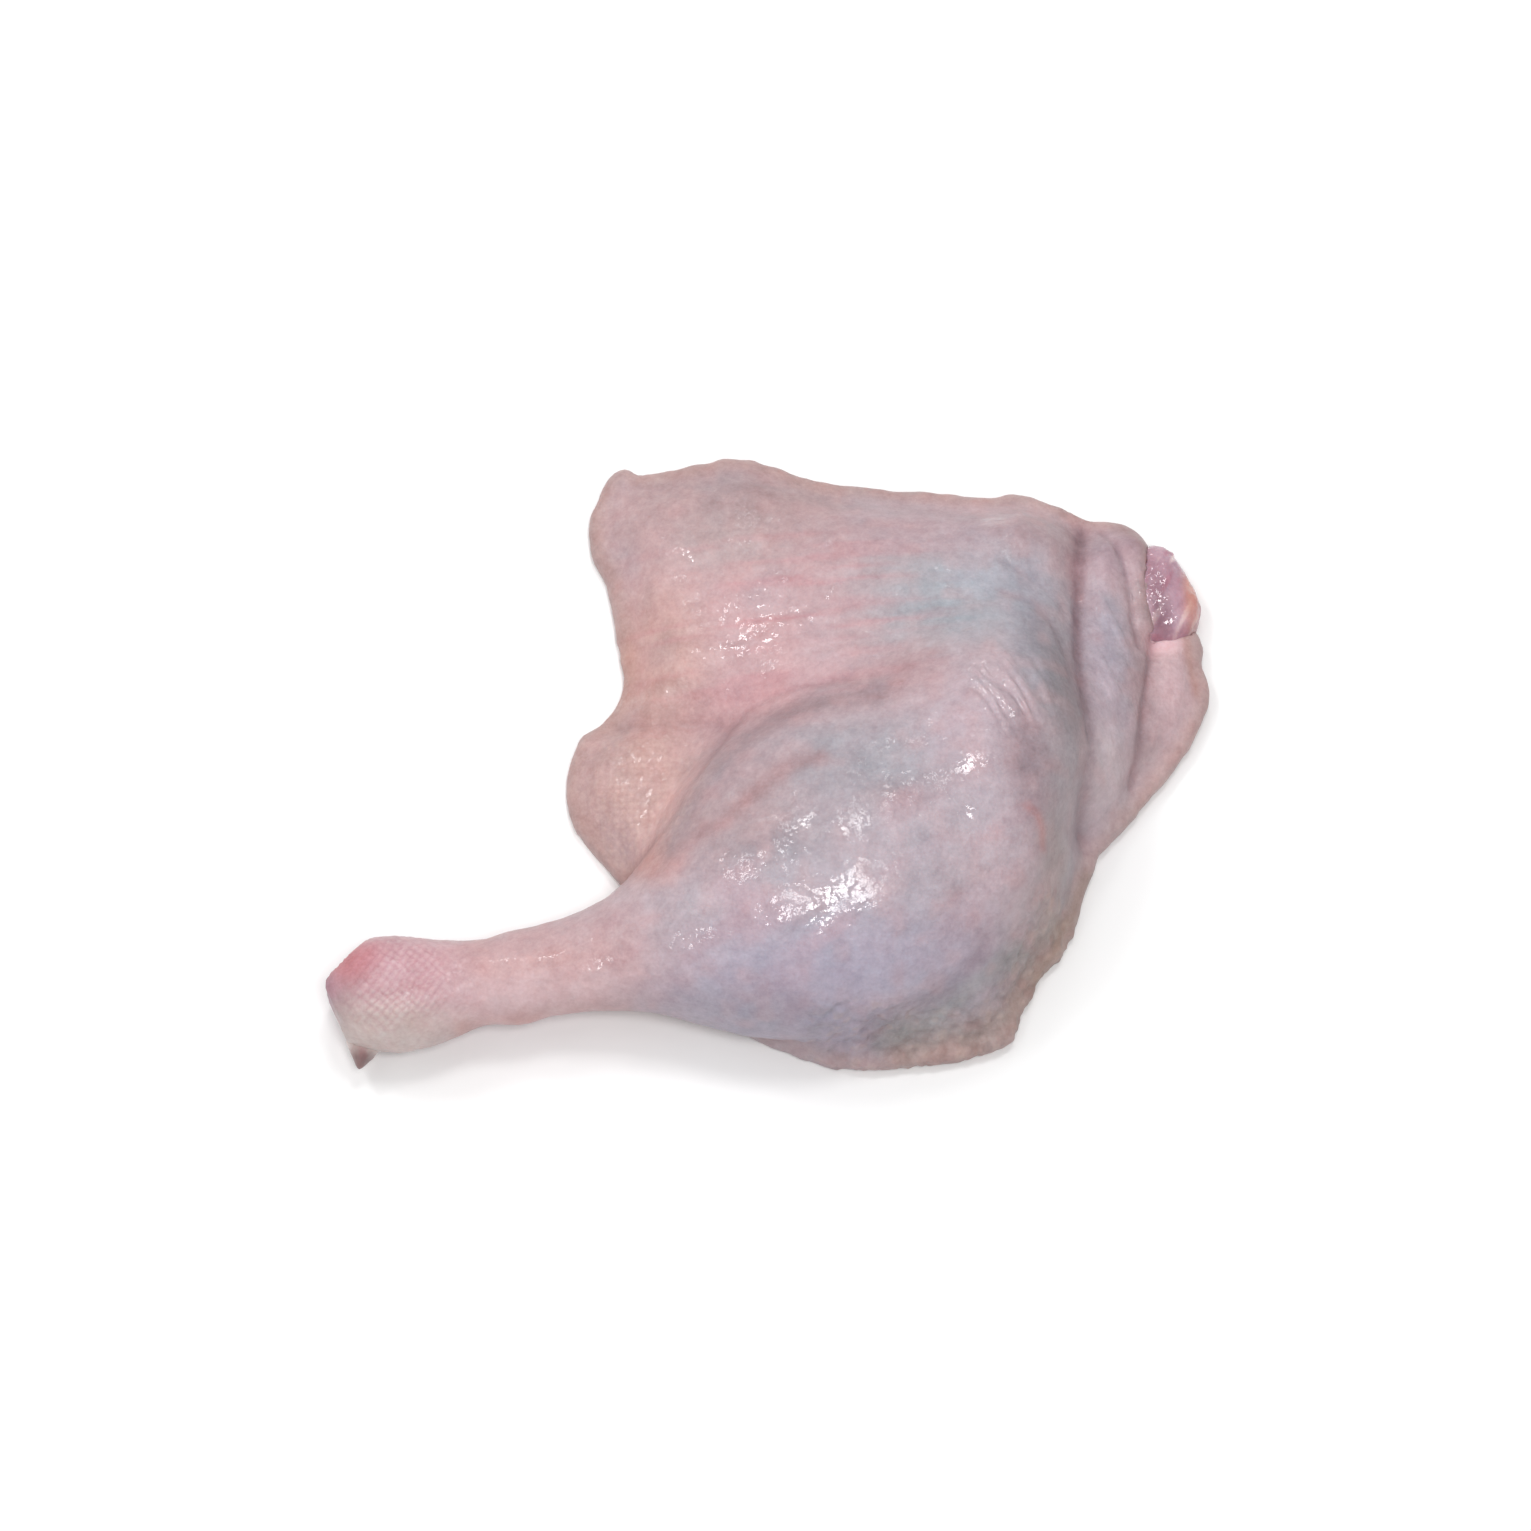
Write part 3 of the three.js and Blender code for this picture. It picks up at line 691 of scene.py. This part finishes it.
def skin_tint(points, mask):
    x, y, z = points.T
    tint = plain_tint(BASE_SKIN, points)
    for colour, at, half, turn, strength in SKIN_TINTS:
        tint = painted(tint, colour, strength * patch(x, y, at, half, turn))
    for (colour, _, strength, _), band in zip(SKIN_BANDS, band_maps):
        tint = painted(tint, colour, strength * band(x, y))
    # painted light and shade, multiplied into the colours
    for at, half, turn, factor in SKIN_PAINTED_LIGHT_AND_SHADE:
        tint = tint * (1 + (factor - 1) * patch(x, y, at, half, turn))[:, None]
    streaks = noise(np.stack([x, y - x * 0.05, z], axis=1), (22, 1.6, 15), 21)
    tint = painted(tint, FLAP_STREAKS, 0.45 * smooth(streaks, 0, 0.8) * mask["flap"])
    flush = noise(along_lines(points, 32), (13, 4, 18), 22)
    tint = painted(tint, CALF_FLUSH, 0.35 * smooth(flush, 0, 0.8) * mask["calf"])
    tint = painted(tint, COOL_BLOTCHES, 0.15 * smooth(noise(points, 11, 23), 0, 0.7))
    tint = painted(tint, WARM_BLOTCHES, 0.2 * smooth(noise(points, 4, 24), 0, 0.8))
    tint = painted(tint, EDGE_COLOUR, 0.4 * mask["edge"])
    flecks = noise(points, 1.9, 25) * mask["rim"]
    tint = painted(tint, RIM_DARK, 0.16 * smooth(flecks, 0.1, 0.7))
    tint = painted(tint, RIM_PALE, 0.22 * smooth(-flecks, 0.2, 0.7))
    tint = painted(tint, LOBE_DOTS, 0.35 * pebbles(points, 1.5, 6, 0.4) * mask["lobe"])
    tint = painted(tint, SCALE_GROOVES, 0.75 * (1 - scale_plates(points)) * mask["hock"])
    # painted shade: darker the deeper the fine lines and creases are pressed in
    pressed = np.clip(fine_lines(x, y) + 0.16 * crease_depth(x, y), 0, 1)
    return tint * (1 - pressed[:, None] * CREASE_PAINTED_SHADE)


# Wet places that glitter: centre, half sizes, turn and strength.
WET_PLACES = [
    ((10, -44), (12, 6.5), 22, 1.0),  # calf
    ((12, -27), (9, 3.2), 12, 1.0),
    ((-15.5, -46), (4.5, 7), -10, 0.9),
    ((2, -33), (9, 4), 30, 0.5),
    ((44, -14), (4.5, 3.5), -40, 0.9),  # knee
    ((41, -22.5), (3.5, 2.5), -40, 0.8),
    ((48, 6), (9, 5), -52, 1.0),
    ((-36, -53), (6, 3), 8, 0.8),  # shank
    ((-50, -52), (9, 4), 8, 0.4),
    ((-6, 21.5), (9, 3), 14, 1.0),  # flap
    ((4, 31), (14, 6), 3, 0.8),
    ((-16, 47), (4, 7), 0, 0.7),
    ((-24, 12.5), (8, 4), 0, 0.8),
    ((-26, -8), (10, 14), 10, 0.32),  # lobe
    ((-27, 64), (5, 3), 0, 0.7),
    ((51, 51), (5, 2.5), 0, 0.9),
]


def skin_wetness(points, mask):
    """How wet the skin shines, from 0 to 1."""
    x, y, _ = points.T
    wet = 0.12 + 0.12 * noise(points, 9, 31)
    for at, half, turn, strength in WET_PLACES:
        wet = np.maximum(wet, strength * patch(x, y, at, half, turn))
    broken = smooth(noise(points, 2.6, 32), -0.55, 0.25)
    return np.clip(wet * (0.25 + 0.75 * broken) - 0.3 * mask["rim"], 0, 1)


# ---- Pieces ----
def to_metres(points):
    """Millimetres in the design frame to metres in the part's frame, kept inside the part's own box."""
    placed = (points - np.array([*MIDDLE, 0])) / 1000
    margin = BOX_MARGIN / 1000
    return np.clip(placed, np.array(CAD_BOX[0]) + [margin, margin, 0], np.array(CAD_BOX[1]) - margin)


def make_piece(name, points, faces, material, tint, wet, node):
    mesh = bpy.data.meshes.new(name)
    mesh.from_pydata(to_metres(points).tolist(), [], [list(f) for f in faces])
    mesh.update()
    mesh.shade_smooth()
    colours = mesh.attributes.new("tint", "FLOAT_COLOR", "POINT")
    colours.data.foreach_set("color", np.column_stack([tint, np.ones(len(tint))]).ravel())
    mesh.attributes.new("wet", "FLOAT", "POINT").data.foreach_set("value", wet)
    mesh.materials.append(material)
    piece = bpy.data.objects.new(name, mesh)
    bpy.context.scene.collection.objects.link(piece)
    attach(piece, "root")
    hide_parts(node)
    return piece


def base_relief(points, seed):
    """The side that lies on the surface is pressed flat, with shallow hollows."""
    wide = smooth(noise(points, 7, seed), -0.1, 0.8)
    narrow = smooth(noise(points, 2.5, seed + 1), 0, 0.8)
    return 0.3 * wide + 0.12 * narrow


def relieved(field, points, height, seed):
    """Moves each point out along the surface's normal by its height, or up from the base."""
    slope = slope_of(field, points)
    normal = slope / np.maximum(np.linalg.norm(slope, axis=1, keepdims=True), 1e-6)
    on_base = points[:, 2] <= 0
    hollow = base_relief(points, seed) * smooth(-field(*points.T), 1.5, 5)
    lifted = points + normal * height[:, None] * smooth(points[:, 2:3], 0, 1.5)
    lifted[on_base] = points[on_base]
    lifted[on_base, 2] = hollow[on_base]
    lifted[:, 2] = np.maximum(lifted[:, 2], 0)
    return lifted


def wants_detail(points):
    """Where the skin's mesh is finer: the kinds of skin with small relief, and its fine creases."""
    x, y, z = points.T
    mask = skin_masks(points)
    worth = np.max([mask[place] for place in FINELY_MESHED], axis=0)
    worth = np.maximum(worth, fine_lines(x, y) * 3)
    return (worth > 0.45) & (z > 2)


def make_skin(material):
    points, quads = surface_net(skin_field, *SKIN_SPAN, SKIN_CELL)
    points = draw_onto(skin_field, points, SKIN_CELL)
    points, faces = refine(points, quads, wants_detail)
    points = draw_onto(skin_field, points, SKIN_CELL / 2)
    mask = skin_masks(points)
    tint = skin_tint(points, mask)
    wet = skin_wetness(points, mask)
    points = relieved(skin_field, points, skin_relief(points, mask), 51)
    return make_piece("leg_skin", points, faces, material, tint, wet, "leg")


# The flesh and the nub: ground colours and what lies over them.
FLESH_COLOUR = (180, 142, 156)
FLESH_PALE = (206, 172, 184)
FLESH_FIBRES = (178, 112, 130)
FLESH_FLECKS_AND_GLINTS = (232, 208, 206)
UNDER_THIGH = (150, 84, 92)
BLOODY_SEAM = (120, 40, 56)
FLESH_PAINTED_SHADE = (130, 92, 106)
ORANGE_RIM = (208, 142, 124)
GRISTLE = (214, 196, 190)
GRISTLE_PINK = (196, 150, 152)
GRISTLE_TIP = (124, 94, 94)


def inset_flesh(x, y, z):
    return flesh_field(x, y, z) + INSET


def flesh_tint(points, grain, fibres):
    x, y, _ = points.T
    tint = plain_tint(FLESH_COLOUR, points)
    tint = painted(tint, FLESH_PALE, 0.8 * smooth(noise(points, 4, 64), -0.2, 0.8))
    tint = painted(tint, FLESH_FIBRES, 0.5 * smooth(fibres, 0.1, 0.8))
    # pale flecks of fat, partly painted glints
    tint = painted(tint, FLESH_FLECKS_AND_GLINTS, 0.7 * smooth(noise(grain, (9, 1.4, 3), 65), 0.3, 0.65))
    tint = painted(tint, UNDER_THIGH, 0.35 * (1 - smooth(x, 74, 82)))
    tint = painted(tint, BLOODY_SEAM, 0.5 * patch(x, y, (95, 29.8), (5, 1.5), 20))
    # painted shade along the flesh's left edge, in the crevice beside the fold
    tint = painted(tint, FLESH_PAINTED_SHADE, 0.7 * patch(x, y, (87, 34), (2.6, 9), 8))
    return painted(tint, ORANGE_RIM, 0.8 * patch(x, y, (94.3, 37), (2.2, 8)))


def make_flesh(material):
    points, quads = surface_net(inset_flesh, *FLESH_SPAN, FLESH_CELL)
    points = draw_onto(inset_flesh, points, FLESH_CELL)
    points, faces = refine(points, quads, lambda p: (p[:, 0] > 77) & (p[:, 2] > 2))
    points = draw_onto(inset_flesh, points, FLESH_CELL / 2)
    along, across = turned(points[:, 0], points[:, 1], HIP_LUMP["at"], 62)
    grain = np.stack([along, across, points[:, 2]], axis=1)
    fibres = noise(grain, (9, 1.1, 1.6), 61)
    height = 0.4 * noise(points, 4.5, 62) + 0.2 * fibres + 0.2 * noise(points, 1.7, 63)
    tint = flesh_tint(points, grain, fibres)
    wet = np.clip(0.7 + 0.3 * noise(points, 3, 66), 0, 1)
    points = relieved(inset_flesh, points, height, 67)
    return make_piece("hip_flesh", points, faces, material, tint, wet, "thigh_flesh")


def joint_faces(rings):
    """The faces between the joint's rings of points, and those that close its two ends."""
    tip, end = rings * JOINT_SIDES, rings * JOINT_SIDES + 1
    faces = []
    for i in range(JOINT_SIDES):
        j = (i + 1) % JOINT_SIDES
        for k in range(0, (rings - 1) * JOINT_SIDES, JOINT_SIDES):
            faces.append([k + i, k + j, k + JOINT_SIDES + j, k + JOINT_SIDES + i])
        faces.append([tip, j, i])
        faces.append([end, tip - JOINT_SIDES + i, tip - JOINT_SIDES + j])
    return faces


def joint_in_place(local):
    """Points given along the joint's axis, across it and up, in the design frame."""
    along, across = turned(local[:, 0], local[:, 1], (0, 0), -JOINT["turn"])
    return np.stack([along, across, local[:, 2]], axis=1) + np.array(JOINT["at"])


def make_joint(material):
    t = np.linspace(-1, 1, JOINT_RINGS + 1)[1:-1]
    angle = np.arange(JOINT_SIDES) * 2 * np.pi / JOINT_SIDES
    reach = JOINT["length"] / 2 - INSET
    radius = joint_radius(t) - INSET
    rings = [np.repeat(t * reach, JOINT_SIDES), np.outer(radius, np.cos(angle)).ravel(),
             np.outer(radius, np.sin(angle)).ravel()]
    local = np.concatenate([np.stack(rings, axis=1), [[-reach, 0, 0], [reach, 0, 0]]])
    smooth_joint = joint_in_place(local)
    height = 0.2 * noise(smooth_joint, 3, 71) + 0.07 * noise(smooth_joint, 1, 72) - 0.2
    out = local / np.maximum(np.linalg.norm(local, axis=1, keepdims=True), 1e-6)
    points = joint_in_place(local + out * height[:, None])
    tint = plain_tint(GRISTLE, points)
    tint = painted(tint, GRISTLE_PINK, 0.7 * smooth(noise(points, 2.2, 73), -0.1, 0.7))
    tint = painted(tint, GRISTLE_TIP, 0.9 * smooth(-local[:, 0], 1, 4.5))
    wet = np.full(len(points), 0.6)
    faces = joint_faces(len(t))
    return make_piece("joint_gristle", points, faces, material, tint, wet, "hock_joint")


# ---- Materials ----
# Blotches laid over the tint in soft light, where 0.5 changes nothing.
COOL = (0.482, 0.5, 0.51, 1)
PINK = (0.518, 0.486, 0.49, 1)
BLUSH_SCALE = 190.0  # scales of noise, in cells to the metre
GLOSS_SCALE = 400.0
DROP_SCALE = 520.0
DROP_HEIGHT = 6.0  # of the water's beads, against the fine relief under them
BLOTCHES = [(5, 1.0), (1.6, 0.8), (0.6, 0.6)]  # size in millimetres, and strength against the mottle's
SHADER_SETTINGS = {
    "IOR": 1.38,
    "Coat IOR": 1.6,
    "Coat Roughness": 0.08,
    "Subsurface Radius": (1.0, 0.4, 0.3),
    "Subsurface Scale": 0.0025,
}


def add_node(tree, kind, inputs=None, **settings):
    """Adds a node. An input is a value, or a socket that is linked to it."""
    node = tree.nodes.new(kind)
    for name, value in settings.items():
        setattr(node, name, value)
    for name, value in (inputs or {}).items():
        if isinstance(value, bpy.types.NodeSocket):
            tree.links.new(value, node.inputs[name])
        else:
            node.inputs[name].default_value = value
    return node


def noise_node(tree, place, scale, detail, roughness=0.5):
    inputs = {"Vector": place, "Scale": scale, "Detail": detail, "Roughness": roughness}
    return add_node(tree, "ShaderNodeTexNoise", inputs).outputs["Fac"]


def spread_node(tree, value, low=0.0, high=1.0):
    """The noise's middle values, spread over a range."""
    inputs = {"Value": value, "From Min": 0.3, "From Max": 0.7, "To Min": low, "To Max": high}
    return add_node(tree, "ShaderNodeMapRange", inputs).outputs[0]


def soft_light_node(tree, colour, over, strength):
    inputs = {0: strength, 6: colour, 7: over}
    node = add_node(tree, "ShaderNodeMix", inputs, data_type="RGBA", blend_type="SOFT_LIGHT")
    return node.outputs[2]


def bump_node(tree, height, millimetres):
    inputs = {"Height": height, "Strength": 1.0, "Distance": millimetres / 1000}
    return add_node(tree, "ShaderNodeBump", inputs).outputs["Normal"]


def food_material(name, grain, mottle, bump, film, subsurface):
    """Raw food: its painted tint with faint pink, cool, light and dark blotches, fine grain, and a film
    of water where it is wet.

    grain is the size of the finest relief, bump its height and film its height under the water, all in
    millimetres; mottle is how strong the blotches are."""
    material = bpy.data.materials.new(name)
    material.use_nodes = True
    tree = material.node_tree
    shader = tree.nodes["Principled BSDF"]
    place = add_node(tree, "ShaderNodeTexCoord").outputs["Object"]
    tint = add_node(tree, "ShaderNodeAttribute", attribute_name="tint").outputs["Color"]
    wet = add_node(tree, "ShaderNodeAttribute", attribute_name="wet").outputs["Fac"]

    hue = spread_node(tree, noise_node(tree, place, BLUSH_SCALE, 2.0))
    blush = add_node(tree, "ShaderNodeMix", {0: hue, 6: COOL, 7: PINK}, data_type="RGBA").outputs[2]
    colour = soft_light_node(tree, tint, blush, 1.0)
    for size, share in BLOTCHES:
        blotch = noise_node(tree, place, 1000 / size, 3.0, 0.6)
        colour = soft_light_node(tree, colour, blotch, mottle * share)

    fine = noise_node(tree, place, 1000 / grain, 3.0, 0.55)
    pores = add_node(tree, "ShaderNodeTexVoronoi", {"Vector": place, "Scale": 1000 / (grain * 1.3)},
                     feature="SMOOTH_F1").outputs["Distance"]
    relief = add_node(tree, "ShaderNodeMath", {0: fine, 1: pores}, operation="SUBTRACT").outputs[0]
    drops = noise_node(tree, place, DROP_SCALE, 1.0)
    beaded = add_node(tree, "ShaderNodeMath", {0: drops, 1: DROP_HEIGHT, 2: relief},
                      operation="MULTIPLY_ADD").outputs[0]

    shader.inputs["Subsurface Weight"].default_value = subsurface
    for setting, value in SHADER_SETTINGS.items():
        shader.inputs[setting].default_value = value
    links = {
        "Base Color": colour,
        "Roughness": spread_node(tree, noise_node(tree, place, GLOSS_SCALE, 4.0), 0.4, 0.55),
        "Coat Weight": wet,
        "Normal": bump_node(tree, relief, bump),
        "Coat Normal": bump_node(tree, beaded, film),
    }
    for target, source in links.items():
        tree.links.new(source, shader.inputs[target])
    return material


def floor_material():
    material = bpy.data.materials.new("pale_floor")
    material.use_nodes = True
    shader = material.node_tree.nodes["Principled BSDF"]
    shader.inputs["Base Color"].default_value = (0.94, 0.94, 0.94, 1)
    shader.inputs["Roughness"].default_value = 0.8
    return material


# ---- Floor, light and camera, in metres ----
FLOOR_REACH = 3
AIM = Vector((-MIDDLE[0] / 1000, -MIDDLE[1] / 1000, 0))
ELEVATION = 72
DISTANCE = 0.9356
LENS_MM = 100
SENSOR_MM = 36
WORLD_STRENGTH = 0.3
# Round lamps: name, direction from the part, distance, size and watts. The small ones in front of and
# over the leg make its glints, and the large one fills the shadows.
LAMPS = [
    ("key_light", (0.1, -0.27, 0.95), 1.1, 0.3, 4.5),
    ("top_light", (0.1, 0.28, 0.95), 1.1, 0.24, 2.5),
    ("left_light", (-0.45, 0.4, 0.8), 1.2, 0.2, 2.0),
    ("back_light", (0.0, 0.75, 0.66), 1.2, 0.15, 1.0),
    ("front_light", (-0.5, -0.45, 0.74), 1.2, 0.15, 0.7),
    ("soft_light", (-0.5, 0.2, 1.0), 1.4, 1.0, 3.3),
]


def make_floor():
    mesh = bpy.data.meshes.new("floor")
    a = FLOOR_REACH
    mesh.from_pydata([(-a, -a, 0), (a, -a, 0), (a, a, 0), (-a, a, 0)], [], [(0, 1, 2, 3)])
    mesh.materials.append(floor_material())
    floor = bpy.data.objects.new("floor", mesh)
    bpy.context.scene.collection.objects.link(floor)


def add_lamp(name, direction, distance, size, watts):
    lamp = bpy.data.lights.new(name, "AREA")
    lamp.shape = "DISK"
    lamp.size = size
    lamp.energy = watts
    light = bpy.data.objects.new(name, lamp)
    towards = Vector(direction).normalized()
    light.location = AIM + towards * distance
    light.rotation_euler = (-towards).to_track_quat("-Z", "Y").to_euler()
    bpy.context.scene.collection.objects.link(light)


def light_world():
    world = bpy.data.worlds.new("studio")
    world.use_nodes = True
    background = world.node_tree.nodes["Background"]
    background.inputs["Color"].default_value = (1, 1, 1, 1)
    background.inputs["Strength"].default_value = WORLD_STRENGTH
    bpy.context.scene.world = world


def make_camera():
    lens = bpy.data.cameras.new("camera")
    lens.lens = LENS_MM
    lens.sensor_width = SENSOR_MM
    camera = bpy.data.objects.new("camera", lens)
    tilt = math.radians(ELEVATION)
    camera.location = AIM + Vector((0, -math.cos(tilt), math.sin(tilt))) * DISTANCE
    camera.rotation_euler = (math.radians(90 - ELEVATION), 0, 0)
    bpy.context.scene.collection.objects.link(camera)
    bpy.context.scene.camera = camera


# ---- The scene ----
make_skin(food_material("duck_skin", grain=0.9, mottle=0.4, bump=0.09, film=0.04, subsurface=0.15))
make_flesh(food_material("duck_flesh", grain=0.8, mottle=0.3, bump=0.12, film=0.05, subsurface=0.2))
make_joint(food_material("duck_gristle", grain=0.8, mottle=0.2, bump=0.08, film=0.03, subsurface=0.2))
make_floor()
for lamp in LAMPS:
    add_lamp(*lamp)
light_world()
make_camera()
bpy.context.scene.view_settings.view_transform = "Standard"
